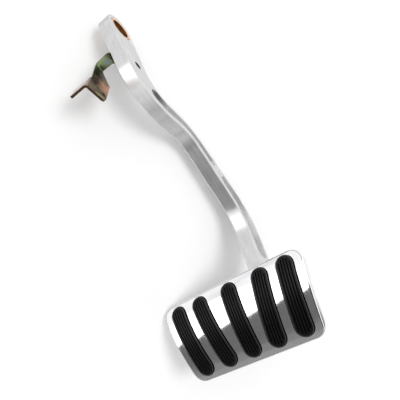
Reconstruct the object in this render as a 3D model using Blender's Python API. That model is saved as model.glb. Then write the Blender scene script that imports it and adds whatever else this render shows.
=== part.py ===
"""Billet aluminium brake pedal: swan-neck arm, curved pad with rubber inserts, switch bracket.

Metres, +Z up. X runs along the pivot axis and -Y points at the driver.
The origin is the centre of the pivot bore, in the middle of the arm's thickness.
"""
import math

import bmesh
import bpy
from mathutils import Matrix, Vector

# Room left between a piece and what it sits on or in
FIT_GAP = 0.0003

# Arm: a bar cut from plate, seen from the side as a centreline with bends
ARM_THICKNESS = 0.0133
ARM_CHAMFER = 0.0009
EYE_DEPTH = 0.0262
EYE_RISE = 0.0015
KNEE = Vector((-0.0143, -0.0685))
KNEE_DEPTH = 0.0218
KNEE_BEND = 0.040
HIP = Vector((0.0351, -0.0978))
HIP_DEPTH = 0.0148
HIP_BEND = 0.042
HEEL = Vector((0.0632, -0.1907))
HEEL_DEPTH = 0.0241
HEEL_BEND = 0.060
FOOT_DEPTH = 0.0250
FOOT_LENGTH = 0.0240
FOOT_BEND = 0.040
TOE_MARGIN = 0.0080
TOE_CORNER = 0.007

# Distances are measured down the centreline from the eye
POCKET_DEPTH = 0.0033
POCKET_FLANGE = 0.0040
POCKET_FLOOR_ROUND = 0.0010
UPPER_POCKET_START = 0.0670
UPPER_POCKET_LENGTH = 0.0930
POCKET_WEB = 0.0125
LOWER_POCKET_LENGTH = 0.0885

# Pivot bush and push-rod pin hole
BUSH_BORE = 0.0170
BUSH_WALL = 0.0018
BUSH_CHAMFER = 0.0004
PIN_HOLE = 0.0066
PIN_HOLE_DROP = 0.0416
PIN_HOLE_BACK = 0.0010
HOLE_CHAMFER = 0.0005

# Pad: a plate with a face rolled to one radius about an axis along X. It reaches
# above and below the middle of its slots
PAD_RADIUS = 0.0898
PAD_THICKNESS = 0.0080
PAD_TOP_REACH = 0.0340
PAD_BOTTOM_REACH = 0.0357
PAD_TOP_WIDTH = 0.1412
PAD_BOTTOM_WIDTH = 0.1157
PAD_CORNER = 0.0100
PAD_FRONT_ROUND = 0.0019
PAD_BACK_CHAMFER = 0.0006
PAD_TILT = math.radians(15.1)
PAD_DROP = 0.2612

# Round-ended slots milled in the pad's face, one rubber insert in each
SLOT_WIDTH = 0.0150
SLOT_DEPTH = 0.0035
SLOT_MARGIN = 0.0028
SLOT_RIM = 0.0004
SLOT_LEAN = math.radians(9.1)
SLOT_SIDE_MARGIN = 0.0077
INNER_SLOT_OFFSET = 0.0261

# Inserts stand proud of the face, with grooves along them
INSERT_PROUD = 0.0014
INSERT_EDGE_ROUND = 0.0011
GROOVE_COUNT = 5
GROOVE_PITCH = 0.0023
GROOVE_WIDTH = 0.0011
GROOVE_DEPTH = 0.0009
GROOVE_END_MARGIN = 0.0016

# Countersunk screws under the fourth insert hold the pad to the arm's foot
PAD_SCREW_SPACING = 0.0200
PAD_SCREW_DIAMETER = 0.0050
PAD_SCREW_HEAD = 0.0096
PAD_SCREW_LENGTH = 0.0150

# Switch bracket: one folded strip of sheet on the arm's left face. Its corners are
# given forward of the arm's centreline and down it from the pivot
SHEET = 0.0020
FOLD_RADIUS = 0.0022
FLANGE_TOP = (0.0144, 0.0260)
FLANGE_BOTTOM = (0.0096, 0.0331)
FLANGE_REACH = 0.0225
FLANGE_TAIL_HEIGHT = 0.0120
SHELF_REACH = 0.0136
SHELF_TAPER = 0.0004
TAB_REAR = (0.0082, 0.0489)
TAB_TOE = (0.0234, 0.0712)
WING_TOP = (0.0281, 0.0489)
WING_BOTTOM = (0.0400, 0.0630)
WING_REACH = 0.0165
WING_FLARE = 0.0050
WING_RISE = 0.0080

# Button-head screws and spring washers hold the bracket
BRACKET_SCREW_DIAMETER = 0.0040
BRACKET_SCREW_LENGTH = 0.0100
BRACKET_SCREW_HEAD = 0.0076
BRACKET_SCREW_HEAD_HEIGHT = 0.0022
BUTTON_SWEEP = math.radians(63)
BRACKET_SCREW_FRONT = 0.0085
BRACKET_SCREW_SPACING = 0.0095
WASHER_WALL = 0.0015
WASHER_THICKNESS = 0.0009
SOCKET_SHARE_OF_HEAD = 0.36

# Facet sizes
BEND_STEPS = 10
ROUND_STEPS = 36
SCREW_STEPS = 28
DRILLED_STEPS = 20
END_STEPS = 10
CORNER_STEPS = 6
PAD_FACET = 0.0060

PAD_AXIS = Vector((
    PAD_RADIUS * math.cos(PAD_TILT),
    -PAD_DROP - PAD_RADIUS * math.sin(PAD_TILT),
))
PAD_HEIGHT = PAD_TOP_REACH + PAD_BOTTOM_REACH
PAD_STRIPS = math.ceil(PAD_HEIGHT / PAD_FACET)
ARM_SIDE = ARM_THICKNESS / 2
BRACKET_PLANE = -(ARM_SIDE + FIT_GAP + SHEET / 2)
SLOT_RADIUS = SLOT_WIDTH / 2
OUTER_SLOT_OFFSET = (PAD_TOP_WIDTH + PAD_BOTTOM_WIDTH) / 4 - SLOT_SIDE_MARGIN - SLOT_RADIUS
# The fourth insert lies over the arm and hides the pad's screws
PAD_SIDE_OFFSET = -INNER_SLOT_OFFSET


def clear_scene():
    for obj in list(bpy.data.objects):
        bpy.data.objects.remove(obj, do_unlink=True)


def make_material(name, colour, metallic, roughness):
    material = bpy.data.materials.new(name)
    material.use_nodes = True
    shader = material.node_tree.nodes["Principled BSDF"]
    shader.inputs["Base Color"].default_value = (*colour, 1.0)
    shader.inputs["Metallic"].default_value = metallic
    shader.inputs["Roughness"].default_value = roughness
    return material


def make_object(name, bm, material=None):
    bm.normal_update()
    bmesh.ops.recalc_face_normals(bm, faces=bm.faces)
    mesh = bpy.data.meshes.new(name)
    bm.to_mesh(mesh)
    bm.free()
    mesh.shade_smooth()
    mesh.set_sharp_from_angle(angle=math.radians(32))
    obj = bpy.data.objects.new(name, mesh)
    bpy.context.scene.collection.objects.link(obj)
    if material is not None:
        mesh.materials.append(material)
    return obj


def make_cutter(name, bm):
    obj = make_object(name, bm)
    obj.hide_render = True
    obj.display_type = "WIRE"
    return obj


def cut(obj, cutter):
    modifier = obj.modifiers.new("cut " + cutter.name, "BOOLEAN")
    modifier.operation = "DIFFERENCE"
    modifier.solver = "EXACT"
    modifier.object = cutter


def carved(body, cutter):
    """Take a cutter away from a body while both are flat patterns, and return what is left."""
    solid = make_object("flat_body", body)
    tool = make_cutter("flat_cutter", cutter)
    cut(solid, tool)
    bpy.context.view_layer.update()
    result = bmesh.new()
    result.from_object(solid, bpy.context.evaluated_depsgraph_get())
    for obj in (solid, tool):
        bpy.data.objects.remove(obj, do_unlink=True)
    bmesh.ops.remove_doubles(result, verts=result.verts, dist=1e-6)
    return result


def loft(bm, rings):
    """Skin equal rings one after the other and cap both ends."""
    loops = [[bm.verts.new(point) for point in ring] for ring in rings]
    count = len(loops[0])
    for lower, upper in zip(loops, loops[1:]):
        for i in range(count):
            j = (i + 1) % count
            bm.faces.new((lower[i], lower[j], upper[j], upper[i]))
    bm.faces.new(loops[0])
    bm.faces.new(loops[-1])


def prism(outline, x_from, x_to):
    """A solid with its outline in the YZ plane and its length along X."""
    bm = bmesh.new()
    loft(bm, [[(x, p.x, p.y) for p in outline] for x in (x_from, x_to)])
    return bm


def turned(profile, steps=ROUND_STEPS):
    """A solid of revolution about Z. The profile is a closed loop of (radius, height)."""
    bm = bmesh.new()
    verts = [bm.verts.new((radius, 0.0, height)) for radius, height in profile]
    edges = [bm.edges.new((verts[i - 1], verts[i])) for i in range(len(verts))]
    bmesh.ops.spin(bm, geom=verts + edges, cent=(0, 0, 0), axis=(0, 0, 1),
                   angle=math.tau, steps=steps, use_merge=True)
    bmesh.ops.remove_doubles(bm, verts=bm.verts, dist=1e-6)
    bmesh.ops.dissolve_degenerate(bm, edges=bm.edges, dist=1e-6)
    return bm


def turned_solid(profile, steps=ROUND_STEPS):
    """A solid pin about Z. The profile runs from the top centre to the bottom centre."""
    bm = bmesh.new()
    rings = []
    for radius, height in profile:
        ring = []
        for i in range(steps):
            angle = math.tau * i / steps
            ring.append((radius * math.cos(angle), radius * math.sin(angle), height))
        rings.append(ring)
    loft(bm, rings)
    return bm


def fillet(before, corner, after, radius, steps):
    """Points of the arc that rounds a corner between two straights."""
    back = (before - corner).normalized()
    ahead = (after - corner).normalized()
    half = back.angle(ahead) / 2
    reach = radius / math.tan(half)
    centre = corner + (back + ahead).normalized() * radius / math.sin(half)
    first = corner + back * reach - centre
    last = corner + ahead * reach - centre
    turn = first.angle_signed(last)
    return [centre + Matrix.Rotation(-turn * i / steps, 2) @ first for i in range(steps + 1)]


def face_point(up, out):
    """A point of the pad in the YZ plane: its distance up the face and out from it."""
    angle = PAD_TILT + up / PAD_RADIUS
    radius = PAD_RADIUS + out
    return PAD_AXIS + Vector((-math.cos(angle), math.sin(angle))) * radius


def strip_edge(index):
    """Distance up the face of the pad's bend lines, from 0 at its bottom edge."""
    return PAD_HEIGHT * index / PAD_STRIPS - PAD_BOTTOM_REACH


def beside_arm(forward, down):
    """A point of the YZ plane, forward of the arm's upper centreline and down from the pivot."""
    along = KNEE.normalized()
    return along * down + Vector((along.y, -along.x)) * forward


def along_x(x, spot, side=1):
    """Turn an object's +Z to the right, or to the left for side -1, its zero at this place."""
    turn = Matrix.Rotation(side * math.pi / 2, 4, "Y")
    return Matrix.Translation((x, spot.x, spot.y)) @ turn


class Centreline:
    """The arm's centreline from the eye to the toe, with the bar's depth along it."""

    def __init__(self):
        foot_out = -PAD_THICKNESS - FIT_GAP - FOOT_DEPTH / 2 + ARM_CHAMFER
        toe_down = PAD_SCREW_SPACING / 2 + TOE_MARGIN
        foot = face_point(FOOT_LENGTH - toe_down, foot_out)
        toe = face_point(-toe_down, foot_out)
        corners = [beside_arm(0.0, -EYE_RISE), KNEE, HIP, HEEL, foot, toe]
        depths = [EYE_DEPTH, KNEE_DEPTH, HIP_DEPTH, HEEL_DEPTH, FOOT_DEPTH, FOOT_DEPTH]
        bends = [KNEE_BEND, HIP_BEND, HEEL_BEND, FOOT_BEND]
        self.points = [corners[0]]
        self.depths = [depths[0]]
        for k, bend in enumerate(bends, start=1):
            arc = fillet(corners[k - 1], corners[k], corners[k + 1], bend, BEND_STEPS)
            before = (arc[0] - corners[k]).length / (corners[k - 1] - corners[k]).length
            after = (arc[-1] - corners[k]).length / (corners[k + 1] - corners[k]).length
            first = depths[k] + (depths[k - 1] - depths[k]) * before
            last = depths[k] + (depths[k + 1] - depths[k]) * after
            for i, point in enumerate(arc):
                share = i / BEND_STEPS
                self.points.append(point)
                self.depths.append(first + (last - first) * share)
        self.points.append(corners[-1])
        self.depths.append(depths[-1])
        self.distances = [0.0]
        for a, b in zip(self.points, self.points[1:]):
            self.distances.append(self.distances[-1] + (b - a).length)
        self.tangents = [(self.points[1] - self.points[0]).normalized()]
        for a, b, c in zip(self.points, self.points[1:], self.points[2:]):
            self.tangents.append(((b - a).normalized() + (c - b).normalized()).normalized())
        self.tangents.append((self.points[-1] - self.points[-2]).normalized())

    def at(self, distance):
        """Point, forward normal and half depth at a distance from the eye."""
        last = len(self.points) - 2
        k = next((i for i in range(last) if self.distances[i + 1] >= distance), last)
        span = self.distances[k + 1] - self.distances[k]
        share = (distance - self.distances[k]) / span
        point = self.points[k].lerp(self.points[k + 1], share)
        half_depth = (self.depths[k] + (self.depths[k + 1] - self.depths[k]) * share) / 2
        ahead = self.tangents[k].lerp(self.tangents[k + 1], share).normalized()
        return point, Vector((ahead.y, -ahead.x)), half_depth

    def edge(self, start, end, inset, side):
        """Points along one edge of the bar, side +1 at the driver and -1 behind."""
        stations = [start]
        stations += [d for d in self.distances if start + 0.001 < d < end - 0.001]
        stations.append(end)
        result = []
        for distance in stations:
            point, forward, half_depth = self.at(distance)
            result.append(point + forward * side * (half_depth - inset))
        return result


def half_circle(line, distance, inset, at_top):
    """A round end: over the top from rear to front, or below from front to rear."""
    centre, forward, half_depth = line.at(distance)
    begin = (-forward if at_top else forward) * (half_depth - inset)
    return [centre + Matrix.Rotation(math.pi * i / END_STEPS, 2) @ begin
            for i in range(1, END_STEPS)]


def arm_outline(line):
    total = line.distances[-1]
    front = line.edge(0.0, total, 0.0, 1)
    rear = line.edge(0.0, total, 0.0, -1)
    toe_front = fillet(front[-2], front[-1], rear[-1], TOE_CORNER, CORNER_STEPS)
    toe_rear = fillet(front[-1], rear[-1], rear[-2], TOE_CORNER, CORNER_STEPS)
    eye = half_circle(line, 0.0, 0.0, True)
    return front[:-1] + toe_front + toe_rear + rear[-2::-1] + eye


def pocket_outline(line, start, length):
    """A milled pocket that keeps a flange of even width along both edges."""
    first = start + line.at(start)[2] - POCKET_FLANGE
    last = start + length - line.at(start + length)[2] + POCKET_FLANGE
    front = line.edge(first, last, POCKET_FLANGE, 1)
    rear = line.edge(first, last, POCKET_FLANGE, -1)
    lower = half_circle(line, last, POCKET_FLANGE, False)
    upper = half_circle(line, first, POCKET_FLANGE, True)
    return front + lower + rear[::-1] + upper


def pocket_cutter(name, outline, side):
    """A pocket with a rounded floor edge, cut in from one side face."""
    floor = side * (ARM_SIDE - POCKET_DEPTH)
    bm = prism(outline, floor, side * (ARM_SIDE + POCKET_DEPTH))
    rim = [e for e in bm.edges if all(abs(v.co.x - floor) < 1e-6 for v in e.verts)]
    bmesh.ops.bevel(bm, geom=rim, offset=POCKET_FLOOR_ROUND, segments=2, profile=0.5,
                    affect="EDGES")
    return make_cutter(name, bm)


def hole_cutter(name, diameter, length, chamfer, steps=ROUND_STEPS):
    """A through hole about Z with a chamfer at both faces of a plate of this length."""
    radius = diameter / 2
    half = length / 2
    beyond = chamfer * 4
    profile = [
        (radius + chamfer + beyond, half + beyond),
        (radius, half - chamfer),
        (radius, -half + chamfer),
        (radius + chamfer + beyond, -half - beyond),
    ]
    return make_cutter(name, turned_solid(profile, steps))


def flange_frame():
    """Middle of the flange's folded edge, and unit vectors down that edge and back from it."""
    top = beside_arm(*FLANGE_TOP)
    bottom = beside_arm(*FLANGE_BOTTOM)
    down = (bottom - top).normalized()
    return (top + bottom) / 2, down, Vector((-down.y, down.x))


def bracket_screw_place(index):
    """Centre of a bracket screw in the YZ plane."""
    middle, _, backward = flange_frame()
    return middle + backward * (BRACKET_SCREW_FRONT + index * BRACKET_SCREW_SPACING)


def pad_screw_place(index):
    """Matrix of a pad screw: origin on the slot's floor, +Z out of the pad's face."""
    up = PAD_SCREW_SPACING * (0.5 - index)
    spot = face_point(up, -SLOT_DEPTH)
    out = face_point(up, 1.0) - face_point(up, 0.0)
    turn = Vector((0, 0, 1)).rotation_difference(Vector((0, out.x, out.y)))
    return Matrix.Translation((0, spot.x, spot.y)) @ turn.to_matrix().to_4x4()


def build_arm(material):
    line = Centreline()
    arm = make_object("pedal_arm", prism(arm_outline(line), -ARM_SIDE, ARM_SIDE), material)
    bevel = arm.modifiers.new("edge chamfer", "BEVEL")
    bevel.width = ARM_CHAMFER
    bevel.segments = 1
    bevel.limit_method = "ANGLE"
    bevel.angle_limit = math.radians(60)

    lower_start = UPPER_POCKET_START + UPPER_POCKET_LENGTH + POCKET_WEB
    spans = (("upper", UPPER_POCKET_START, UPPER_POCKET_LENGTH),
             ("lower", lower_start, LOWER_POCKET_LENGTH))
    for label, start, length in spans:
        outline = pocket_outline(line, start, length)
        for hand, side in (("right", 1), ("left", -1)):
            cut(arm, pocket_cutter("cutter_pocket_%s_%s" % (label, hand), outline, side))

    bush_hole = hole_cutter("cutter_bush_seat", BUSH_BORE + 2 * (BUSH_WALL + FIT_GAP),
                            ARM_THICKNESS, HOLE_CHAMFER)
    bush_hole.matrix_world = along_x(0.0, beside_arm(0.0, 0.0))
    cut(arm, bush_hole)
    pin_hole = hole_cutter("cutter_pin_hole", PIN_HOLE, ARM_THICKNESS, HOLE_CHAMFER, SCREW_STEPS)
    pin_hole.matrix_world = along_x(0.0, beside_arm(-PIN_HOLE_BACK, PIN_HOLE_DROP))
    cut(arm, pin_hole)

    cut(arm, pad_seat_cutter())

    for index in range(2):
        radius = PAD_SCREW_DIAMETER / 2 + FIT_GAP
        depth = PAD_SCREW_LENGTH + PAD_SCREW_DIAMETER / 4
        tapped = make_cutter("cutter_pad_tapping_%d" % (index + 1),
                             turned_solid([(radius, 0.0), (radius, -depth)], DRILLED_STEPS))
        tapped.matrix_world = pad_screw_place(index)
        cut(arm, tapped)
        radius = BRACKET_SCREW_DIAMETER / 2 + FIT_GAP
        depth = BRACKET_SCREW_LENGTH - SHEET - WASHER_THICKNESS
        tapped = make_cutter("cutter_bracket_tapping_%d" % (index + 1),
                             turned_solid([(radius, depth), (radius, -depth)], DRILLED_STEPS))
        tapped.matrix_world = along_x(-ARM_SIDE, bracket_screw_place(index))
        cut(arm, tapped)


def pad_seat_cutter():
    """Mills the arm's foot to the pad's inner radius, as high as the pad reaches."""
    heights = [strip_edge(i) for i in range(PAD_STRIPS + 1)]
    heights[0] -= FIT_GAP
    heights[-1] += FIT_GAP
    seat = [face_point(up, -PAD_THICKNESS - FIT_GAP) for up in heights]
    seat += [face_point(up, FOOT_DEPTH / 2) for up in reversed(heights)]
    return make_cutter("cutter_pad_seat", prism(seat, -ARM_THICKNESS, ARM_THICKNESS))


def build_bush(material):
    outer = BUSH_BORE / 2 + BUSH_WALL
    inner = BUSH_BORE / 2
    half = ARM_THICKNESS / 2
    profile = [
        (inner + BUSH_CHAMFER, half),
        (outer - BUSH_CHAMFER, half),
        (outer, half - BUSH_CHAMFER),
        (outer, -half + BUSH_CHAMFER),
        (outer - BUSH_CHAMFER, -half),
        (inner + BUSH_CHAMFER, -half),
        (inner, -half + BUSH_CHAMFER),
        (inner, half - BUSH_CHAMFER),
    ]
    bush = make_object("pivot_bush", turned(profile), material)
    bush.matrix_world = along_x(0.0, beside_arm(0.0, 0.0))


def trapezoid(inset, out):
    """The pad's outline in its flat pattern (across, up, out), moved in by an inset."""
    corners = [
        Vector((PAD_TOP_WIDTH / 2, PAD_TOP_REACH)),
        Vector((-PAD_TOP_WIDTH / 2, PAD_TOP_REACH)),
        Vector((-PAD_BOTTOM_WIDTH / 2, -PAD_BOTTOM_REACH)),
        Vector((PAD_BOTTOM_WIDTH / 2, -PAD_BOTTOM_REACH)),
    ]
    ring = []
    for k, corner in enumerate(corners):
        before = corners[k - 1]
        after = corners[(k + 1) % 4]
        ring += fillet(before, corner, after, PAD_CORNER, CORNER_STEPS)
    moved_ring = []
    for i, point in enumerate(ring):
        along = (ring[(i + 1) % len(ring)] - ring[i - 1]).normalized()
        inward = Vector((-along.y, along.x))
        moved = point + inward * inset
        moved_ring.append((moved.x, moved.y, out))
    return moved_ring


def stadium(half_length, radius, out, lean, across_by):
    """A round-ended slot outline in the flat pattern, leaning by an angle."""
    turn = Matrix.Rotation(-lean, 2)
    ring = []
    for end in (1, -1):
        for i in range(END_STEPS + 1):
            angle = math.pi * i / END_STEPS
            point = Vector((radius * math.cos(angle), radius * math.sin(angle) + half_length)) * end
            point = turn @ point
            ring.append((point.x + across_by, point.y, out))
    return ring


def roll(bm):
    """Bend a flat pattern (across, up, out) onto the pad's radius, in flat strips, and place it."""
    for i in range(1, PAD_STRIPS):
        geometry = bm.verts[:] + bm.edges[:] + bm.faces[:]
        bmesh.ops.bisect_plane(bm, geom=geometry, dist=1e-6, plane_co=(0, strip_edge(i), 0),
                               plane_no=(0, 1, 0))
    for vert in bm.verts:
        across_by, up, out = vert.co
        strip = (up + PAD_BOTTOM_REACH) / PAD_HEIGHT * PAD_STRIPS
        strip = min(max(strip, 0.0), PAD_STRIPS - 1e-6)
        first = math.floor(strip + 1e-4)
        lower = face_point(strip_edge(first), out)
        upper = face_point(strip_edge(first + 1), out)
        point = lower.lerp(upper, strip - first)
        vert.co = (across_by + PAD_SIDE_OFFSET, point.x, point.y)
    return bm


def slot_layout():
    """Each slot's place across the pad and its lean, from left to right."""
    return [
        (-OUTER_SLOT_OFFSET, -SLOT_LEAN),
        (-INNER_SLOT_OFFSET, -SLOT_LEAN),
        (0.0, 0.0),
        (INNER_SLOT_OFFSET, SLOT_LEAN),
        (OUTER_SLOT_OFFSET, SLOT_LEAN),
    ]


def slot_half_length(lean):
    """Half the distance between a slot's end centres."""
    return (PAD_TOP_REACH - SLOT_MARGIN - SLOT_RADIUS) / math.cos(lean)


def build_pad(material):
    front = PAD_FRONT_ROUND
    rings = [
        trapezoid(PAD_BACK_CHAMFER, -PAD_THICKNESS),
        trapezoid(0.0, -PAD_THICKNESS + PAD_BACK_CHAMFER),
    ]
    for i in range(4):
        angle = math.pi / 2 * i / 3
        rings.append(trapezoid(front * (1 - math.cos(angle)), front * (math.sin(angle) - 1)))
    plate = bmesh.new()
    loft(plate, rings)
    levels = (
        (SLOT_RADIUS - SLOT_RIM, -SLOT_DEPTH),
        (SLOT_RADIUS, -SLOT_DEPTH + SLOT_RIM),
        (SLOT_RADIUS, -SLOT_RIM),
        (SLOT_RADIUS + 3 * SLOT_RIM, 2 * SLOT_RIM),
    )
    slots = bmesh.new()
    for across_by, lean in slot_layout():
        half_length = slot_half_length(lean)
        loft(slots, [stadium(half_length, r, out, lean, across_by) for r, out in levels])
    pad = make_object("pedal_pad", roll(carved(plate, slots)), material)

    for index in range(2):
        profile = [(radius + FIT_GAP * math.sqrt(2), height) for radius, height in screw_cone()]
        profile = [(profile[0][0], PAD_THICKNESS), *profile, (profile[-1][0], -PAD_THICKNESS)]
        hole = make_cutter("cutter_screw_seat_%d" % (index + 1), turned_solid(profile, SCREW_STEPS))
        hole.matrix_world = pad_screw_place(index)
        cut(pad, hole)


def build_insert(index, across_by, lean, material):
    half_length = slot_half_length(lean)
    radius = SLOT_RADIUS - FIT_GAP
    crown = INSERT_EDGE_ROUND
    levels = [(radius - SLOT_RIM, -SLOT_DEPTH + FIT_GAP), (radius, -SLOT_DEPTH + SLOT_RIM + FIT_GAP)]
    for i in range(4):
        angle = math.pi / 2 * i / 3
        levels.append((radius - crown * (1 - math.cos(angle)),
                       INSERT_PROUD + crown * (math.sin(angle) - 1)))
    body = bmesh.new()
    loft(body, [stadium(half_length, r, out, lean, across_by) for r, out in levels])
    grooves = groove_shapes(half_length, across_by, lean)
    make_object("rubber_insert_%d" % index, roll(carved(body, grooves)), material)


def groove_shapes(half_length, across_by, lean):
    """All grooves of one insert: round-bottomed cuts that stop short of its edge."""
    turn = Matrix.Rotation(-lean, 2)
    floor = INSERT_PROUD - GROOVE_DEPTH
    half = GROOVE_WIDTH / 2
    section = ((-half, INSERT_PROUD + GROOVE_DEPTH), (-half, floor + half * 0.8),
               (-half * 0.5, floor), (half * 0.5, floor),
               (half, floor + half * 0.8), (half, INSERT_PROUD + GROOVE_DEPTH))
    bm = bmesh.new()
    for k in range(GROOVE_COUNT):
        centre = GROOVE_PITCH * (k - (GROOVE_COUNT - 1) / 2)
        room = SLOT_RADIUS - INSERT_EDGE_ROUND - GROOVE_END_MARGIN
        reach = half_length + math.sqrt(max(room ** 2 - centre ** 2, 0.0))
        rings = []
        for end in (-reach, reach):
            ring = []
            for shift, out in section:
                point = turn @ Vector((centre + shift, end))
                ring.append((point.x + across_by, point.y, out))
            rings.append(ring)
        loft(bm, rings)
    return bm


def hex_socket(name, across_flats, depth):
    """A six-sided recess cut down from Z zero."""
    radius = across_flats / math.sqrt(3)
    return make_cutter(name, turned_solid([(radius, depth), (radius, -depth)], 6))


def screw_cone():
    """The countersunk head's rim and the foot of its cone, below the slot's floor."""
    head = PAD_SCREW_HEAD / 2
    shank = PAD_SCREW_DIAMETER / 2
    rim = -2 * FIT_GAP
    return [(head, rim), (shank, rim - (head - shank))]


def build_pad_screw(index, material):
    head = PAD_SCREW_HEAD / 2
    shank = PAD_SCREW_DIAMETER / 2
    tip = -PAD_SCREW_LENGTH
    profile = [(head, -FIT_GAP), *screw_cone(), (shank, tip + shank / 4), (shank * 3 / 4, tip)]
    screw = make_object("pad_screw_%d" % (index + 1), turned_solid(profile, SCREW_STEPS), material)
    screw.matrix_world = pad_screw_place(index)
    socket = hex_socket("cutter_pad_socket_%d" % (index + 1),
                        PAD_SCREW_HEAD * SOCKET_SHARE_OF_HEAD, head * 0.5)
    socket.matrix_world = pad_screw_place(index)
    cut(screw, socket)


def build_bracket(material):
    """The bracket's middle surface is folded first and then thickened to the sheet."""
    tab_plane = BRACKET_PLANE - SHELF_REACH
    middle, down, backward = flange_frame()
    fold_top = beside_arm(*FLANGE_TOP)
    fold_bottom = beside_arm(*FLANGE_BOTTOM)
    tail = middle + backward * FLANGE_REACH
    tail_top = tail - down * FLANGE_TAIL_HEIGHT / 2
    tail_bottom = tail + down * FLANGE_TAIL_HEIGHT / 2
    tab_rear = beside_arm(*TAB_REAR)
    tab_toe = beside_arm(*TAB_TOE)
    hinge_top = beside_arm(*WING_TOP)
    hinge_bottom = beside_arm(*WING_BOTTOM)
    hinge = (hinge_bottom - hinge_top).normalized()

    bm = bmesh.new()

    def vert(x, point):
        return bm.verts.new((x, point.x, point.y))

    flange_top = vert(BRACKET_PLANE, fold_top)
    flange_bottom = vert(BRACKET_PLANE, fold_bottom)
    tab_top = vert(tab_plane, fold_top + down * SHELF_TAPER)
    tab_bottom = vert(tab_plane, fold_bottom - down * SHELF_TAPER)
    wing_top = vert(tab_plane, hinge_top)
    wing_bottom = vert(tab_plane, hinge_bottom)

    corner = FLANGE_TAIL_HEIGHT / 3
    tail_arc = fillet(fold_top, tail_top, tail_bottom, corner, 4)
    tail_arc += fillet(tail_top, tail_bottom, fold_bottom, corner, 4)
    tail_verts = [vert(BRACKET_PLANE, point) for point in tail_arc]
    bm.faces.new([flange_top, *tail_verts, flange_bottom])
    bm.faces.new([flange_top, flange_bottom, tab_bottom, tab_top])

    toe_arc = fillet(tab_rear, tab_toe, hinge_bottom, SHEET * 2, 3)
    rear = [vert(tab_plane, tab_rear)] + [vert(tab_plane, point) for point in toe_arc]
    bm.faces.new([tab_top, tab_bottom, *rear, wing_bottom, wing_top])

    outer_bottom = vert(tab_plane - WING_REACH, hinge_bottom - hinge * SHEET)
    outer_top = vert(tab_plane - WING_REACH - WING_FLARE, hinge_top - hinge * WING_RISE)
    bm.faces.new([wing_top, wing_bottom, outer_bottom, outer_top])

    bmesh.ops.recalc_face_normals(bm, faces=bm.faces)
    folds = [e for e in bm.edges if len(e.link_faces) == 2]
    bmesh.ops.bevel(bm, geom=folds, offset=FOLD_RADIUS, segments=4, profile=0.5, affect="EDGES",
                    clamp_overlap=True)
    mesh = bpy.data.meshes.new("switch_bracket")
    bm.to_mesh(mesh)
    bm.free()
    mesh.materials.append(material)
    bracket = bpy.data.objects.new("switch_bracket", mesh)
    bpy.context.scene.collection.objects.link(bracket)
    thicken = bracket.modifiers.new("sheet thickness", "SOLIDIFY")
    thicken.thickness = SHEET
    thicken.offset = 0.0
    thicken.use_even_offset = True
    for index in range(2):
        radius = BRACKET_SCREW_DIAMETER / 2 + FIT_GAP
        hole = make_cutter("cutter_flange_hole_%d" % (index + 1),
                           turned_solid([(radius, SHEET), (radius, -SHEET)], DRILLED_STEPS))
        hole.matrix_world = along_x(BRACKET_PLANE, bracket_screw_place(index))
        cut(bracket, hole)


def build_bracket_fixings(index, material):
    """One spring washer and one button-head screw, stacked on the bracket's flange."""
    spot = bracket_screw_place(index)
    sheet_face = BRACKET_PLANE - SHEET / 2 - FIT_GAP
    inner = BRACKET_SCREW_DIAMETER / 2 + FIT_GAP
    outer = inner + WASHER_WALL
    profile = [(inner, WASHER_THICKNESS), (outer, WASHER_THICKNESS), (outer, 0.0), (inner, 0.0)]
    washer = make_object("bracket_washer_%d" % (index + 1), turned(profile, SCREW_STEPS), material)
    washer.matrix_world = along_x(sheet_face, spot, -1)

    shank = BRACKET_SCREW_DIAMETER / 2
    head = BRACKET_SCREW_HEAD / 2
    rise = BRACKET_SCREW_HEAD_HEIGHT
    dome = [BUTTON_SWEEP * i / 3 for i in range(3, -1, -1)]
    profile = [(head * math.cos(angle), rise * math.sin(angle) / math.sin(BUTTON_SWEEP))
               for angle in dome]
    profile += [(shank, 0.0), (shank, -BRACKET_SCREW_LENGTH)]
    screw = make_object("bracket_screw_%d" % (index + 1), turned_solid(profile, SCREW_STEPS),
                        material)
    under_head = sheet_face - WASHER_THICKNESS - FIT_GAP
    screw.matrix_world = along_x(under_head, spot, -1)
    socket = hex_socket("cutter_bracket_socket_%d" % (index + 1),
                        BRACKET_SCREW_HEAD * SOCKET_SHARE_OF_HEAD, rise * 0.6)
    socket.matrix_world = along_x(under_head - rise, spot, -1)
    cut(screw, socket)


def main():
    clear_scene()
    arm_aluminium = make_material("brushed_aluminium", (0.66, 0.67, 0.68), 1.0, 0.32)
    pad_aluminium = make_material("polished_aluminium", (0.72, 0.72, 0.73), 1.0, 0.18)
    rubber = make_material("black_rubber", (0.012, 0.012, 0.012), 0.0, 0.62)
    bronze = make_material("sintered_bronze", (0.32, 0.15, 0.06), 1.0, 0.45)
    zinc = make_material("yellow_zinc_steel", (0.42, 0.34, 0.20), 1.0, 0.34)
    steel = make_material("plain_zinc_steel", (0.50, 0.51, 0.52), 1.0, 0.35)
    build_arm(arm_aluminium)
    build_bush(bronze)
    build_pad(pad_aluminium)
    for index, (across_by, lean) in enumerate(slot_layout(), start=1):
        build_insert(index, across_by, lean, rubber)
    for index in range(2):
        build_pad_screw(index, steel)
    build_bracket(zinc)
    for index in range(2):
        build_bracket_fixings(index, steel)


main()
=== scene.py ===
"""Looks of a machined aluminium brake pedal that lies on a white table in soft studio light.

Lengths are in metres and the frame is the CAD's: X along the pivot axis, -Y to the driver, +Z up.
"""
import math

import bpy
from mathutils import Matrix, Vector

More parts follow.
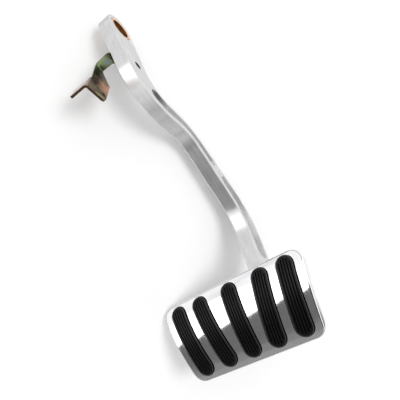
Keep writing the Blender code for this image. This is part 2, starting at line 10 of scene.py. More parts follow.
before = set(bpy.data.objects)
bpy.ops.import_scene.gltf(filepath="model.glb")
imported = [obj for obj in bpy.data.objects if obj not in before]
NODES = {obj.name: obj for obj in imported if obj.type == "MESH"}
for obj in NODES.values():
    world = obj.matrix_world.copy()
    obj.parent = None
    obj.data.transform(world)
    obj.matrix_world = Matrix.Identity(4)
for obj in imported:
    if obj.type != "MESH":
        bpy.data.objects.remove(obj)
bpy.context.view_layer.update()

MM = 0.001
WHITE = "#FFFFFF"
# The range of a Map Range node that falls from 1 to 0
FALLING = {"To Min": 1.0, "To Max": 0.0}


def linear(hex_colour):
    """An sRGB hex colour as linear red, green, blue and alpha."""
    channels = [int(hex_colour[i:i + 2], 16) / 255 for i in (1, 3, 5)]
    return (*[c / 12.92 if c <= 0.04045 else ((c + 0.055) / 1.055) ** 2.4 for c in channels], 1.0)


def in_use(sockets, name=None):
    """The first socket that a node's settings leave in use, or the first of them with a name."""
    return next(socket for socket in sockets if socket.enabled and name in (None, socket.name))


def add(tree, kind, inputs=None, **settings):
    """Add a node with its settings, its values and its links to other nodes.

    An input goes by its name or number. It is a plain value, a colour in hex, another node's
    output, or a node, which stands for the first output that it has in use.
    """
    node = tree.nodes.new(kind)
    for name, setting in settings.items():
        setattr(node, name, setting)
    for key, value in (inputs or {}).items():
        socket = node.inputs[key] if isinstance(key, int) else in_use(node.inputs, key)
        if isinstance(value, bpy.types.Node):
            value = in_use(value.outputs)
        if isinstance(value, bpy.types.NodeSocket):
            tree.links.new(value, socket)
        else:
            is_colour = isinstance(value, str) and value.startswith("#")
            socket.default_value = linear(value) if is_colour else value
    return node


def new_material(name, surface, *values):
    """A material whose surface a function builds in its node tree."""
    material = bpy.data.materials.new(name)
    material.use_nodes = True
    tree = material.node_tree
    tree.nodes.clear()
    add(tree, "ShaderNodeOutputMaterial", {"Surface": surface(tree, *values)})
    return material


def grain(tree, place, sizes, detail=2.0, turn=(0.0, 0.0, 0.0)):
    """Noise whose grains have these lengths in millimetres along X, Y and Z."""
    stretched = add(tree, "ShaderNodeMapping", {
        "Vector": place, "Rotation": turn, "Scale": [1.0 / (size * MM) for size in sizes]})
    return add(tree, "ShaderNodeTexNoise", {
        "Vector": stretched, "Scale": 1.0, "Detail": detail, "Roughness": 0.6})


def between(tree, value, places):
    """A share that is 0, 1, 1 and 0 at four rising places."""
    start, full, end, gone = places
    rising = add(tree, "ShaderNodeMapRange", {
        "Value": value, "From Min": start, "From Max": full})
    falling = add(tree, "ShaderNodeMapRange", {
        "Value": value, "From Min": end, "From Max": gone, **FALLING})
    return add(tree, "ShaderNodeMath", {0: falling, 1: rising}, operation="MULTIPLY")


def from_axis(tree, place, point):
    """Distance from an axis that runs along X through a point with X 0."""
    flat = add(tree, "ShaderNodeVectorMath", {0: place, 1: (0.0, 1.0, 1.0)}, operation="MULTIPLY")
    return add(tree, "ShaderNodeVectorMath", {0: flat, 1: point}, operation="DISTANCE")


# The arm's push-rod pin hole, and how far past its wall the dark paint inside it fades out
PIN_AXIS = (0.0, -0.00752, -0.04093)
PIN_HOLE_RADIUS = 3.3 * MM
HOLE_DARK_EDGE = 0.2 * MM
# The end of the arm's upper pocket, and how far from it the painted shade starts to fade and is
# gone
POCKET_END = (0.0, 0.0025, -0.0680)
POCKET_SHADE_FULL = 2.0 * MM
POCKET_SHADE_GONE = 14.0 * MM
# The painted shade on the eye's turned end starts at the pivot's height and is full this far above
# it
EYE_SHADE_FULL = 4.0 * MM


# Billet aluminium, milled and then brushed along the bar. The grain of a fine abrasive belt,
# about 0.1 mm, is too fine to show and is drawn as streaks of about 1 mm
def brushed_aluminium(tree):
    place = add(tree, "ShaderNodeTexCoord").outputs["Object"]
    across = grain(tree, place, (0.9, 22.0, 22.0), 4.0)
    along_side = grain(tree, place, (40.0, 1.1, 30.0), 4.0, (math.radians(-12), 0.0, 0.0))
    cloud = grain(tree, place, (9.0, 9.0, 9.0), 3.0)
    # The front is brushed one way; the sides are milled and less regular
    normal = add(tree, "ShaderNodeNewGeometry").outputs["Normal"]
    facing = add(tree, "ShaderNodeSeparateXYZ", {"Vector": normal}).outputs
    sideways = add(tree, "ShaderNodeMath", {0: facing["X"]}, operation="ABSOLUTE")
    streaks = add(tree, "ShaderNodeMix", {"Factor": sideways, "A": across, "B": along_side})
    worn = add(tree, "ShaderNodeMath", {0: cloud, 1: 0.6, 2: streaks}, operation="MULTIPLY_ADD")
    tone = add(tree, "ShaderNodeMapRange", {"Value": worn, "From Min": 0.62, "From Max": 0.98})
    front = add(tree, "ShaderNodeMix", {
        "Factor": tone, "A": "#D2D2D3", "B": "#E6E6E6"}, data_type="RGBA")
    sides = add(tree, "ShaderNodeMix", {
        "Factor": tone, "A": "#C7C7C8", "B": "#DBDBDB"}, data_type="RGBA")
    colour = add(tree, "ShaderNodeMix", {
        "Factor": sideways, "A": front, "B": sides}, data_type="RGBA")
    # The end of the eye is turned; its upward faces are painted darker, as painted shade
    high = add(tree, "ShaderNodeSeparateXYZ", {"Vector": place}).outputs["Z"]
    upward = add(tree, "ShaderNodeMapRange", {
        "Value": facing["Z"], "From Min": 0.25, "From Max": 0.60})
    over_pivot = add(tree, "ShaderNodeMapRange", {
        "Value": high, "From Min": 0.0, "From Max": EYE_SHADE_FULL})
    eye_end_shade = add(tree, "ShaderNodeMath", {0: upward, 1: over_pivot}, operation="MULTIPLY")
    colour = add(tree, "ShaderNodeMix", {
        "Factor": eye_end_shade, "A": colour, "B": "#C0C0C1"}, data_type="RGBA")
    # The push-rod pin's hole is painted dark inside
    in_hole = add(tree, "ShaderNodeMapRange", {
        "Value": from_axis(tree, place, PIN_AXIS),
        "From Min": PIN_HOLE_RADIUS, "From Max": PIN_HOLE_RADIUS + HOLE_DARK_EDGE, **FALLING})
    colour = add(tree, "ShaderNodeMix", {
        "Factor": in_hole, "A": colour, "B": "#4C4B4A"}, data_type="RGBA")
    # Painted shade in the pocket: its upper end wall is painted darker, and this fades downwards
    downward = add(tree, "ShaderNodeMapRange", {
        "Value": facing["Z"], "From Min": -0.4, "From Max": -0.2, **FALLING})
    near_end = add(tree, "ShaderNodeMapRange", {
        "Value": from_axis(tree, place, POCKET_END),
        "From Min": POCKET_SHADE_FULL, "From Max": POCKET_SHADE_GONE, **FALLING})
    pocket_end_shade = add(tree, "ShaderNodeMath", {0: downward, 1: near_end}, operation="MULTIPLY")
    colour = add(tree, "ShaderNodeMix", {
        "Factor": pocket_end_shade, "A": colour, "B": "#868687"}, data_type="RGBA")
    roughness = add(tree, "ShaderNodeMapRange", {
        "Value": streaks, "From Min": 0.35, "From Max": 0.65, "To Min": 0.32, "To Max": 0.42})
    waves = add(tree, "ShaderNodeBump", {"Height": cloud, "Strength": 1.0, "Distance": 0.035 * MM})
    relief = add(tree, "ShaderNodeBump", {
        "Height": streaks, "Strength": 1.0, "Distance": 0.012 * MM, "Normal": waves})
    broken_edge = add(tree, "ShaderNodeBevel", {"Radius": 0.4 * MM, "Normal": relief})
    around = add(tree, "ShaderNodeTangent", direction_type="RADIAL", axis="X")
    one_way = add(tree, "ShaderNodeMapRange", {
        "Value": sideways, "From Min": 0.3, "From Max": 0.8, "To Min": 1.0, "To Max": 0.1})
    shader = add(tree, "ShaderNodeBsdfPrincipled", {
        "Base Color": colour, "Metallic": 1.0, "Roughness": roughness, "Normal": broken_edge,
        "Anisotropic": one_way, "Anisotropic Rotation": 0.25, "Tangent": around})
    # The plain value for an export that drops the link
    shader.inputs["Anisotropic"].default_value = 0.5
    return shader


# The pad's face is rolled about an axis along X. Its middle lies straight under the pivot, and
# there it leans back by the tilt
PAD_RADIUS = 0.0898
PAD_TILT = math.radians(15.1)
PAD_MIDDLE_HEIGHT = -0.2612
PAD_AXIS = (0.0, PAD_RADIUS * math.cos(PAD_TILT),
            PAD_MIDDLE_HEIGHT - PAD_RADIUS * math.sin(PAD_TILT))


def over_face(tree, place):
    """Height over the pad's face."""
    from_roll = from_axis(tree, place, PAD_AXIS)
    return add(tree, "ShaderNodeMath", {0: from_roll, 1: PAD_RADIUS}, operation="SUBTRACT")


# Painted light on the pad's broken edge, by height over the face: a thin dark line round the pad
# with four places, which is a painted dark reflection, and at the pad's foot, by its Z, painted
# shade on all that lies under a second line
INNER_LINE = (-0.22 * MM, -0.16 * MM, -0.08 * MM, -0.06 * MM)
OUTER_LINE_FULL = -0.80 * MM
OUTER_LINE_GONE = -0.68 * MM
OUTER_LINE_FULL_Z = -0.285
OUTER_LINE_GONE_Z = -0.270


# The pad's aluminium is polished: a clear reflection, with a faint cloud and hairline scratches
def polished_aluminium(tree):
    place = add(tree, "ShaderNodeTexCoord").outputs["Object"]
    cloud = grain(tree, place, (14.0, 14.0, 7.0), 3.0)
    hairlines = grain(tree, place, (1.0, 30.0, 30.0), 3.0, (0.0, math.radians(8), 0.0))
    tone = add(tree, "ShaderNodeMapRange", {"Value": cloud, "From Min": 0.35, "From Max": 0.65})
    colour = add(tree, "ShaderNodeMix", {
        "Factor": tone, "A": "#F0F0F2", "B": "#F7F7F8"}, data_type="RGBA")
    roughness = add(tree, "ShaderNodeMapRange", {
        "Value": hairlines, "From Min": 0.3, "From Max": 0.7, "To Min": 0.07, "To Max": 0.13})
    waves = add(tree, "ShaderNodeBump", {"Height": cloud, "Strength": 1.0, "Distance": 0.012 * MM})
    relief = add(tree, "ShaderNodeBump", {
        "Height": hairlines, "Strength": 1.0, "Distance": 0.002 * MM, "Normal": waves})
    broken_edge = add(tree, "ShaderNodeBevel", {"Radius": 0.3 * MM, "Normal": relief})
    # A painted dark reflection as a thin dark line round the pad in the corner of the broken edge,
    # and painted shade under the edge at the pad's foot, which also darkens the pad's back there
    height = over_face(tree, place)
    painted_dark_reflection = between(tree, height, INNER_LINE)
    colour = add(tree, "ShaderNodeMix", {
        "Factor": painted_dark_reflection, "A": colour, "B": "#8C8C90"}, data_type="RGBA")
    below_line = add(tree, "ShaderNodeMapRange", {
        "Value": height, "From Min": OUTER_LINE_FULL, "From Max": OUTER_LINE_GONE, **FALLING})
    low = add(tree, "ShaderNodeSeparateXYZ", {"Vector": place}).outputs["Z"]
    at_foot = add(tree, "ShaderNodeMapRange", {
        "Value": low, "From Min": OUTER_LINE_FULL_Z, "From Max": OUTER_LINE_GONE_Z, **FALLING})
    painted_foot_shade = add(tree, "ShaderNodeMath", {0: below_line, 1: at_foot}, operation="MULTIPLY")
    colour = add(tree, "ShaderNodeMix", {
        "Factor": painted_foot_shade, "A": colour, "B": "#4A4A4C"}, data_type="RGBA")
    return add(tree, "ShaderNodeBsdfPrincipled", {
        "Base Color": colour, "Metallic": 1.0, "Roughness": roughness, "Normal": broken_edge})


# Sintered bronze, soaked in oil: brown, with open pores of about 0.5 mm and a dull shine
def oiled_bronze(tree):
    place = add(tree, "ShaderNodeTexCoord").outputs["Object"]
    pores = grain(tree, place, (0.5, 0.5, 0.5), 2.0)
    stain = grain(tree, place, (4.0, 4.0, 4.0), 3.0)
    tone = add(tree, "ShaderNodeMapRange", {"Value": stain, "From Min": 0.35, "From Max": 0.65})
    colour = add(tree, "ShaderNodeMix", {
        "Factor": tone, "A": "#86623F", "B": "#9C7650"}, data_type="RGBA")
    # The bush's ends are rubbed bright
    normal = add(tree, "ShaderNodeNewGeometry").outputs["Normal"]
    along = add(tree, "ShaderNodeSeparateXYZ", {"Vector": normal}).outputs["X"]
    endways = add(tree, "ShaderNodeMath", {0: along}, operation="ABSOLUTE")
    lighter_share = add(tree, "ShaderNodeMapRange", {"Value": endways, "From Min": 0.4, "From Max": 0.8})
    colour = add(tree, "ShaderNodeMix", {
        "Factor": lighter_share, "A": colour, "B": "#EFC6A6"}, data_type="RGBA")
    roughness = add(tree, "ShaderNodeMapRange", {
        "Value": pores, "From Min": 0.3, "From Max": 0.7, "To Min": 0.32, "To Max": 0.50})
    pits = add(tree, "ShaderNodeBump", {"Height": pores, "Strength": 1.0, "Distance": 0.03 * MM})
    return add(tree, "ShaderNodeBsdfPrincipled", {
        "Base Color": colour, "Metallic": 1.0, "Roughness": roughness, "Normal": pits})


# Patches of the bracket's film, in the order in which they lie over each other, and among them
# one of painted shade: the dark patch at (-7, -18, -25), next to the arm, is painted shade between
# the bracket and the arm. Each has its middle and reach in millimetres and its colour
FILM_AND_SHADE_PATCHES = (
    ((-12, -19, -26), 13.0, "#6B6F56"), ((-16, -20, -25), 6.5, "#7D8C66"),
    ((-17, -18, -30), 5.0, "#4F5A44"), ((-11.5, -18, -27), 2.3, "#687A80"),
    ((-7, -18, -25), 3.5, "#3F4030"), ((-21, -28, -35), 8.5, "#3F402A"),
    ((-21, -36, -46), 9.0, "#4E4332"), ((-21, -25, -44), 6.0, "#8C7050"),
    ((-21, -27, -52), 10.5, "#DDA682"), ((-21, -40, -62), 5.0, "#B9B07E"),
    ((-21, -36, -58), 2.2, "#3A1E10"), ((-21, -33, -62), 1.8, "#4A3A20"),
    ((-38, -46, -48), 19.0, "#D2B4B8"),
)
# The share of a patch's reach that has its full colour, and how far its edge wanders
PATCH_CORE = 0.45
PATCH_WANDER = 3.0 * MM
# The bracket's shelf, whose upward edges get the painted sheen, takes over from its tab between
# these places
SHELF_NONE_X = -20.6 * MM
SHELF_FULL_X = -19.4 * MM


# Steel sheet with yellow passivated zinc: a thin film whose colour changes with its thickness
def yellow_zinc(tree):
    place = add(tree, "ShaderNodeTexCoord").outputs["Object"]
    drift = grain(tree, place, (5.0, 5.0, 5.0), 3.0)
    wander = add(tree, "ShaderNodeMapRange", {
        "Value": drift, "From Min": 0.3, "From Max": 0.7,
        "To Min": -PATCH_WANDER, "To Max": PATCH_WANDER})
    tone = add(tree, "ShaderNodeMapRange", {"Value": drift, "From Min": 0.4, "From Max": 0.6})
    colour = add(tree, "ShaderNodeMix", {
        "Factor": tone, "A": "#6A5B46", "B": "#83745C"}, data_type="RGBA")
    for middle, reach, tint in FILM_AND_SHADE_PATCHES:
        middle_m = [value * MM for value in middle]
        away = add(tree, "ShaderNodeVectorMath", {0: place, 1: middle_m}, operation="DISTANCE")
        wandered = add(tree, "ShaderNodeMath", {0: away, 1: wander}, operation="ADD")
        share = add(tree, "ShaderNodeMapRange", {
            "Value": wandered, "From Min": reach * MM * PATCH_CORE, "From Max": reach * MM,
            **FALLING})
        colour = add(tree, "ShaderNodeMix", {
            "Factor": share, "A": colour, "B": tint}, data_type="RGBA")
    # Painted light on the sheared edges: painted shade on those that face down, and a pale
    # greenish painted sheen on the shelf's edges that face up
    normal = add(tree, "ShaderNodeNewGeometry").outputs["Normal"]
    upward = add(tree, "ShaderNodeSeparateXYZ", {"Vector": normal}).outputs["Z"]
    painted_shade_below = add(tree, "ShaderNodeMapRange", {
        "Value": upward, "From Min": -0.56, "From Max": -0.48, **FALLING})
    colour = add(tree, "ShaderNodeMix", {
        "Factor": painted_shade_below, "A": colour, "B": "#4A3B29"}, data_type="RGBA")
    across = add(tree, "ShaderNodeSeparateXYZ", {"Vector": place}).outputs["X"]
    on_shelf = add(tree, "ShaderNodeMapRange", {
        "Value": across, "From Min": SHELF_NONE_X, "From Max": SHELF_FULL_X})
    on_top = add(tree, "ShaderNodeMapRange", {"Value": upward, "From Min": 0.4, "From Max": 0.6})
    painted_sheen_above = add(tree, "ShaderNodeMath", {0: on_shelf, 1: on_top}, operation="MULTIPLY")
    colour = add(tree, "ShaderNodeMix", {
        "Factor": painted_sheen_above, "A": colour, "B": "#CBD49A"}, data_type="RGBA")
    roughness = add(tree, "ShaderNodeMapRange", {
        "Value": drift, "From Min": 0.3, "From Max": 0.7, "To Min": 0.22, "To Max": 0.36})
    waves = add(tree, "ShaderNodeBump", {"Height": drift, "Strength": 1.0, "Distance": 0.03 * MM})
    return add(tree, "ShaderNodeBsdfPrincipled", {
        "Base Color": colour, "Metallic": 1.0, "Roughness": roughness, "Normal": waves})


# Screws and washers: steel with clear zinc, faintly blue and a little cloudy
def clear_zinc(tree):
    place = add(tree, "ShaderNodeTexCoord").outputs["Object"]
    cloud = grain(tree, place, (1.8, 1.8, 1.8), 3.0)
    tone = add(tree, "ShaderNodeMapRange", {"Value": cloud, "From Min": 0.35, "From Max": 0.65})
    colour = add(tree, "ShaderNodeMix", {
        "Factor": tone, "A": "#AEB4BC", "B": "#C8CACC"}, data_type="RGBA")
    roughness = add(tree, "ShaderNodeMapRange", {
        "Value": cloud, "From Min": 0.3, "From Max": 0.7, "To Min": 0.24, "To Max": 0.38})
    waves = add(tree, "ShaderNodeBump", {"Height": cloud, "Strength": 1.0, "Distance": 0.01 * MM})
    return add(tree, "ShaderNodeBsdfPrincipled", {
        "Base Color": colour, "Metallic": 1.0, "Roughness": roughness, "Normal": waves})


# Heights over the pad's face: where the ribs' lighter, rubbed part starts and is full, over
# grooves that are painted near black as painted shade, and the four places of their shoulders
# under the crests
RIB_START = 0.75 * MM
RIB_FULL = 1.25 * MM
SHOULDER_HEIGHT = (0.85 * MM, 1.05 * MM, 1.24 * MM, 1.32 * MM)


# Moulded rubber, carbon black: a fine matt skin with a weak shine on its ribs
def moulded_rubber(tree):
    place = add(tree, "ShaderNodeTexCoord").outputs["Object"]
    skin = grain(tree, place, (0.7, 0.7, 0.7), 3.0)
    bloom = grain(tree, place, (7.0, 7.0, 7.0), 3.0)
    # The ribs are rubbed and catch the light; the grooves are painted near black, as painted shade
    height = over_face(tree, place)
    lighter_share = add(tree, "ShaderNodeMapRange", {
        "Value": height, "From Min": RIB_START, "From Max": RIB_FULL})
    shoulder = between(tree, height, SHOULDER_HEIGHT)
    tone = add(tree, "ShaderNodeMapRange", {"Value": bloom, "From Min": 0.35, "From Max": 0.65})
    skin_colour = add(tree, "ShaderNodeMix", {
        "Factor": tone, "A": "#060606", "B": "#0E0E0E"}, data_type="RGBA")
    colour = add(tree, "ShaderNodeMix", {
        "Factor": lighter_share, "A": "#010101", "B": skin_colour}, data_type="RGBA")
    rib_gloss = add(tree, "ShaderNodeMapRange", {"Value": lighter_share, "To Max": 0.21})
    shoulder_gloss = add(tree, "ShaderNodeMapRange", {"Value": shoulder, "To Max": 0.70})
    gloss = add(tree, "ShaderNodeMath", {0: rib_gloss, 1: shoulder_gloss}, operation="ADD")
    roughness = add(tree, "ShaderNodeMapRange", {
        "Value": skin, "From Min": 0.3, "From Max": 0.7, "To Min": 0.30, "To Max": 0.44})
    worn = add(tree, "ShaderNodeBevel", {"Radius": 0.35 * MM})
    relief = add(tree, "ShaderNodeBump", {
        "Height": skin, "Strength": 1.0, "Distance": 0.03 * MM, "Normal": worn})
    shader = add(tree, "ShaderNodeBsdfPrincipled", {
        "Base Color": colour, "Roughness": roughness, "Specular IOR Level": gloss,
        "Normal": relief})
    # The plain value for an export that drops the link
    shader.inputs["Specular IOR Level"].default_value = 0.2
    return shader


# Each finish and the nodes that have it, whose numbers are left off their names
FINISHED_NODES = {
    brushed_aluminium: ("pedal_arm",),
    polished_aluminium: ("pedal_pad",),
    oiled_bronze: ("pivot_bush",),
    yellow_zinc: ("switch_bracket",),
    moulded_rubber: ("rubber_insert",),
    clear_zinc: ("pad_screw", "bracket_screw", "bracket_washer"),
}
FINISHES = {}
for finish, node_names in FINISHED_NODES.items():
    FINISHES.update(dict.fromkeys(node_names, new_material(finish.__name__, finish)))


def smooth_group(crease):
    """Joins split facets and shades them smooth, with hard edges at angles over the crease."""
    tree = bpy.data.node_groups.new("smooth_facets", "GeometryNodeTree")
    tree.interface.new_socket("Geometry", in_out="INPUT", socket_type="NodeSocketGeometry")
    tree.interface.new_socket("Geometry", in_out="OUTPUT", socket_type="NodeSocketGeometry")
    mesh = add(tree, "NodeGroupInput")
    joined = add(tree, "GeometryNodeMergeByDistance", {"Geometry": mesh, "Distance": 1e-6})
    plain = add(tree, "GeometryNodeRemoveAttribute", {"Geometry": joined, "Name": "custom_normal"})
    faces = add(tree, "GeometryNodeSetShadeSmooth", {
        "Geometry": plain, "Shade Smooth": True}, domain="FACE")
    angle = add(tree, "GeometryNodeInputMeshEdgeAngle").outputs["Unsigned Angle"]
    gentle = add(tree, "FunctionNodeCompare", {"A": angle, "B": crease}, operation="LESS_THAN")
    edges = add(tree, "GeometryNodeSetShadeSmooth", {
        "Geometry": faces, "Shade Smooth": gentle}, domain="EDGE")
    add(tree, "NodeGroupOutput", {"Geometry": edges})
    return tree


SMOOTH = smooth_group(math.radians(28))
# The pad's face ends in a crisp broken edge
CRISP = smooth_group(math.radians(14.8))
for name, node in NODES.items():
    node.data.materials.clear()
    node.data.materials.append(FINISHES[name.rstrip("_0123456789")])
    smooth = node.modifiers.new("smooth facets", "NODES")
    smooth.node_group = CRISP if name == "pedal_pad" else SMOOTH
    weighted = node.modifiers.new("flat faces stay flat", "WEIGHTED_NORMAL")
    weighted.keep_sharp = True


def sheet(name, corners):
    """A flat piece of the studio. Its corners run anticlockwise as seen from its front."""
    mesh = bpy.data.meshes.new(name)
    mesh.from_pydata(corners, [], [(0, 1, 2, 3)])
    piece = bpy.data.objects.new(name, mesh)
    bpy.context.scene.collection.objects.link(piece)
    return piece


def one_sided(tree, front):
    """A shader on the front of a sheet, which is clear from behind."""
    clear = add(tree, "ShaderNodeBsdfTransparent")
    behind = add(tree, "ShaderNodeNewGeometry").outputs["Backfacing"]
    return add(tree, "ShaderNodeMixShader", {0: behind, 1: front, 2: clear})


# The pedal lies on its back: the table touches the arm's eye and heel and the pad's upper
# left corner
TABLE_NORMAL = Vector((0.6157, -0.7511, -0.2381)).normalized()
TABLE_TOUCH = Vector((-0.00575, 0.0122545, 0.0068401))
TABLE_DROP = 0.0002
TABLE_REACH = 3.0
# What reflections see of the table: its near end in the shade of the camera's stand, by its Z,
# and a place behind the arm's hip in the shade of the pad, by the distance from its middle
STAND_SHADE_FULL_Z = -0.58
STAND_SHADE_GONE_Z = -0.36
PAD_SHADE = (-0.062, 0.064, -0.300)
PAD_SHADE_FULL = 0.040
PAD_SHADE_GONE = 0.075
# How far from the pedal the camera sees the table fade into the white backdrop
FADE_START = 0.45
FADE_END = 1.0


# Matt white paper
def white_paper(tree):
    place = add(tree, "ShaderNodeTexCoord").outputs["Object"]
    rays = add(tree, "ShaderNodeLightPath").outputs
    mirrored = rays["Is Glossy Ray"]
    low = add(tree, "ShaderNodeSeparateXYZ", {"Vector": place}).outputs["Z"]
    near_end = add(tree, "ShaderNodeMapRange", {
        "Value": low, "From Min": STAND_SHADE_FULL_Z, "From Max": STAND_SHADE_GONE_Z, **FALLING})
    shade = add(tree, "ShaderNodeMath", {0: mirrored, 1: near_end}, operation="MULTIPLY")
    white = add(tree, "ShaderNodeMix", {
        "Factor": shade, "A": "#F8F8F8", "B": "#BABABA"}, data_type="RGBA")
    away = add(tree, "ShaderNodeVectorMath", {0: place, 1: PAD_SHADE}, operation="DISTANCE")
    behind_hip = add(tree, "ShaderNodeMapRange", {
        "Value": away, "From Min": PAD_SHADE_FULL, "From Max": PAD_SHADE_GONE, **FALLING})
    shade = add(tree, "ShaderNodeMath", {0: mirrored, 1: behind_hip}, operation="MULTIPLY")
    white = add(tree, "ShaderNodeMix", {
        "Factor": shade, "A": white, "B": "#9C9C9C"}, data_type="RGBA")
    matt = add(tree, "ShaderNodeBsdfDiffuse", {"Color": white})
    reach = add(tree, "ShaderNodeVectorMath", {0: place, 1: TABLE_TOUCH}, operation="DISTANCE")
    faded = add(tree, "ShaderNodeMapRange", {
        "Value": reach, "From Min": FADE_START, "From Max": FADE_END})
    far = add(tree, "ShaderNodeMath", {0: rays["Is Camera Ray"], 1: faded}, operation="MULTIPLY")
    backdrop = add(tree, "ShaderNodeEmission", {"Color": WHITE, "Strength": 1.0})
    return one_sided(tree, add(tree, "ShaderNodeMixShader", {0: far, 1: matt, 2: backdrop}))


def table():
    """A white table, seen only from above so that it never hides the pedal."""
    turn = TABLE_NORMAL.to_track_quat("Z", "Y").to_matrix()
    middle = TABLE_TOUCH - TABLE_NORMAL * TABLE_DROP
    corners = [middle + turn @ Vector((x * TABLE_REACH, y * TABLE_REACH, 0.0))
               for x, y in ((-1, -1), (1, -1), (1, 1), (-1, 1))]
    top = sheet("table", corners)
    top.data.materials.append(new_material("white_paper", white_paper))


table()

# Cards that only reflections see, and only from their front: the dark front of the camera's
# stand, and a light card level with the knee. Each has its corners, the axis along which its
# glow changes, and two places on that axis with their glows
CARDS = {
    "camera_stand": (((0.20, -0.300, -0.68), (-0.36, -0.300, -0.68), (-0.36, -0.300, -0.172),
                      (0.20, -0.300, -0.172)), "Z", (-0.68, 0.54), (-0.34, 0.14)),
    "knee_card": (((-0.14, -0.18, -0.115), (0.10, -0.18, -0.115), (0.10, -0.035, -0.115),
                   (-0.14, -0.035, -0.115)), "Y", (-0.04, 0.64), (-0.08, 0.95)),
}


# A card lit from within, whose glow changes evenly along one axis
def glowing_card(tree, axis, start, end):
    start_place, start_glow = start
    end_place, end_glow = end
    place = add(tree, "ShaderNodeTexCoord").outputs["Object"]
    along = add(tree, "ShaderNodeSeparateXYZ", {"Vector": place}).outputs[axis]
    glow = add(tree, "ShaderNodeMapRange", {
        "Value": along, "From Min": start_place, "From Max": end_place,
        "To Min": start_glow, "To Max": end_glow})
    return one_sided(tree, add(tree, "ShaderNodeEmission", {"Strength": glow}))


def reflection_card(name, corners, *glow):
    """A card that lights nothing matt and casts no shadow."""
    card = sheet(name, corners)
    card.data.materials.append(new_material(name, glowing_card, *glow))
    card.visible_camera = False
    card.visible_diffuse = False
    card.visible_shadow = False
    card.visible_transmission = False


for name, card in CARDS.items():
    reflection_card(name, *card)

# A soft lamp to the right, in front and low, which gives the pedal its shadow on the table
KEY_PLACE = Vector((1.02, -0.714, -0.43))
KEY_AIM = Vector((0.0, 0.02, -0.14))
KEY_SIZE = 0.60
KEY_WATTS = 6.0


def key_light():
    lamp = bpy.data.lights.new("key", "AREA")
    lamp.shape = "DISK"
    lamp.size = KEY_SIZE
    lamp.energy = KEY_WATTS
    key = bpy.data.objects.new("key", lamp)
    key.location = KEY_PLACE
    key.rotation_euler = (KEY_AIM - KEY_PLACE).to_track_quat("-Z", "Y").to_euler()
    key.visible_glossy = False
    bpy.context.scene.collection.objects.link(key)


key_light()

# The studio that reflections see, as strengths by the height of a direction, from straight down
# to straight up: a grey floor, a bright band of lamps over the horizon, a ceiling
STUDIO = ((-1.00, 0.54), (-0.78, 0.54), (-0.66, 0.60), (-0.50, 0.92), (-0.28, 0.98), (0.00, 1.12),
          (0.18, 1.60), (0.30, 2.30), (0.66, 2.30), (0.68, 1.05), (1.00, 1.05))
STUDIO_PEAK = 2.4
# Its even strength towards the back and the right, the directions between which each sets in,
# and those between which the floor gives way to the back
REAR = 1.12
REAR_START_Y = 0.0
REAR_FULL_Y = 0.3
RIGHT_START_X = 0.2
RIGHT_FULL_X = 0.5
FLOOR_FULL_Z = -0.90
FLOOR_GONE_Z = -0.75
# The even light that falls on matt surfaces
FILL = 0.76


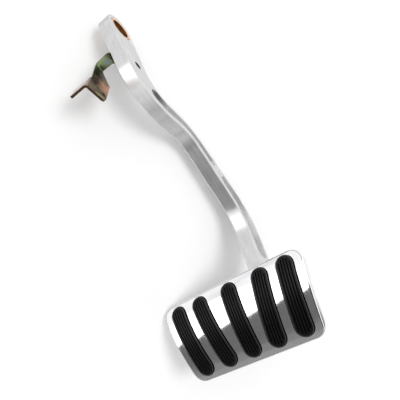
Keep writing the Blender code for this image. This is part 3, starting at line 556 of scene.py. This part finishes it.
def studio_world():
    """The studio for reflections, an even fill for matt surfaces and a white backdrop."""
    world = bpy.data.worlds.new("studio")
    world.use_nodes = True
    tree = world.node_tree
    tree.nodes.clear()
    direction = add(tree, "ShaderNodeTexCoord").outputs["Generated"]
    parts = add(tree, "ShaderNodeSeparateXYZ", {"Vector": direction}).outputs
    height = add(tree, "ShaderNodeMapRange", {
        "Value": parts["Z"], "From Min": -1.0, "From Max": 1.0})
    ramp = add(tree, "ShaderNodeValToRGB", {"Fac": height})
    elements = ramp.color_ramp.elements
    while len(elements) < len(STUDIO):
        elements.new(0.5)
    for element, (step, strength) in zip(elements, STUDIO):
        element.position = (step + 1) / 2
        element.color = (*[strength / STUDIO_PEAK] * 3, 1.0)
    front = add(tree, "ShaderNodeBackground", {"Color": ramp, "Strength": STUDIO_PEAK})
    rear = add(tree, "ShaderNodeBackground", {"Color": WHITE, "Strength": REAR})
    backward = add(tree, "ShaderNodeMapRange", {
        "Value": parts["Y"], "From Min": REAR_START_Y, "From Max": REAR_FULL_Y})
    over_floor = add(tree, "ShaderNodeMapRange", {
        "Value": parts["Z"], "From Min": FLOOR_FULL_Z, "From Max": FLOOR_GONE_Z})
    rearward = add(tree, "ShaderNodeMath", {0: backward, 1: over_floor}, operation="MULTIPLY")
    rightward = add(tree, "ShaderNodeMapRange", {
        "Value": parts["X"], "From Min": RIGHT_START_X, "From Max": RIGHT_FULL_X})
    aside = add(tree, "ShaderNodeMath", {0: rearward, 1: rightward}, operation="MAXIMUM")
    room = add(tree, "ShaderNodeMixShader", {0: aside, 1: front, 2: rear})
    backdrop = add(tree, "ShaderNodeBackground", {"Color": WHITE, "Strength": 1.0})
    fill = add(tree, "ShaderNodeBackground", {"Color": WHITE, "Strength": FILL})
    rays = add(tree, "ShaderNodeLightPath").outputs
    seen = add(tree, "ShaderNodeMath", {
        0: rays["Is Camera Ray"], 1: rays["Is Transmission Ray"]}, operation="MAXIMUM")
    bright = add(tree, "ShaderNodeMixShader", {0: seen, 1: room, 2: backdrop})
    soft = add(tree, "ShaderNodeMixShader", {0: rays["Is Diffuse Ray"], 1: bright, 2: fill})
    add(tree, "ShaderNodeOutputWorld", {"Surface": soft})
    bpy.context.scene.world = world


studio_world()

# A wide view from close by, rolled about 30 degrees
CAMERA_PLACE = Vector((0.092101, -0.265794, -0.197820))
CAMERA_AHEAD = Vector((-0.34263, 0.93138, 0.12304))
CAMERA_UP = Vector((0.49031, 0.06557, 0.86908))
CAMERA_LENS = 31.5
CAMERA_SENSOR = 36.0
CAMERA_NEAR = 0.01


def photo_camera():
    camera = bpy.data.cameras.new("camera")
    camera.sensor_width = CAMERA_SENSOR
    camera.lens = CAMERA_LENS
    camera.clip_start = CAMERA_NEAR
    obj = bpy.data.objects.new("camera", camera)
    back = -CAMERA_AHEAD.normalized()
    right = CAMERA_UP.cross(back).normalized()
    up = back.cross(right)
    obj.matrix_world = Matrix((
        (right.x, up.x, back.x, CAMERA_PLACE.x),
        (right.y, up.y, back.y, CAMERA_PLACE.y),
        (right.z, up.z, back.z, CAMERA_PLACE.z),
        (0.0, 0.0, 0.0, 1.0),
    ))
    bpy.context.scene.collection.objects.link(obj)
    bpy.context.scene.camera = obj


photo_camera()
bpy.context.scene.view_settings.view_transform = "Standard"
